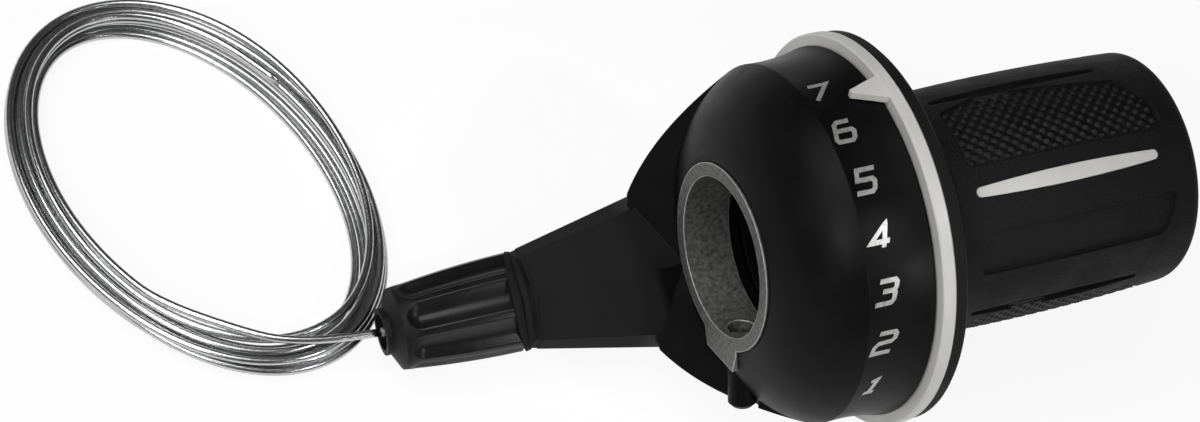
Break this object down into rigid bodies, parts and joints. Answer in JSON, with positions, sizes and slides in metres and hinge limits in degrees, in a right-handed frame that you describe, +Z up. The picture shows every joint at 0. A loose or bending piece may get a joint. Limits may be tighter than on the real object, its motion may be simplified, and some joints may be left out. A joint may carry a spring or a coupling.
{
  "type": "twist grip shifter",
  "caption": "Bicycle twist shifter for a handlebar, with a dial housing, clamp ring, indexed rubber grip, barrel adjuster and a coiled gear cable.",
  "frame": {"origin": "on the handlebar axis, in the inboard face of the clamp insert", "axes": "+X along the handlebar from the clamp towards the outer end of the grip, +Y forwards, +Z up, as fitted on the right of a bar"},
  "size_m": [0.1484, 0.102, 0.0555],
  "materials": {
    "housing_plastic": "satin black moulding",
    "cast_alloy": "as cast",
    "black_steel": "black oxide",
    "spring_steel": "bright",
    "cable_steel": "stranded wire",
    "barrel_plastic": "smooth acetal",
    "light_plastic": "satin",
    "grip_rubber": "matte, fine grain"
  },
  "bodies": {
    "base": {"housing": "housing_plastic", "clamp_insert": "cast_alloy", "clamp_screw": "black_steel", "detent_spring": "spring_steel", "retaining_ring": "spring_steel", "cable_guide": "barrel_plastic", "inner_cable": "cable_steel", "cable_lead": "cable_steel", "cable_coil": "cable_steel"},
    "grip": {"twist_barrel": "barrel_plastic", "cable_head": "cast_alloy", "indicator_ring": "light_plastic", "rubber_grip": "grip_rubber", "spindle_inlay_1": "light_plastic", "spindle_inlay_2": "light_plastic", "spindle_inlay_3": "light_plastic"},
    "adjuster": {"adjuster_barrel": "housing_plastic", "friction_ring": "grip_rubber"}
  },
  "joints": [
    {"name": "grip_twist", "type": "hinge", "parent": "base", "child": "grip", "pos_m": [0, 0, 0], "axis": [1, 0, 0], "range_deg": [0, 105], "deforming": ["detent_spring"]},
    {"name": "adjuster_turn", "type": "hinge", "parent": "base", "child": "adjuster", "pos_m": [0, 0.00943, -0.01744], "axis": [-0.9902, 0.057, -0.1274], "range_deg": [-360, 360]}
  ]
}
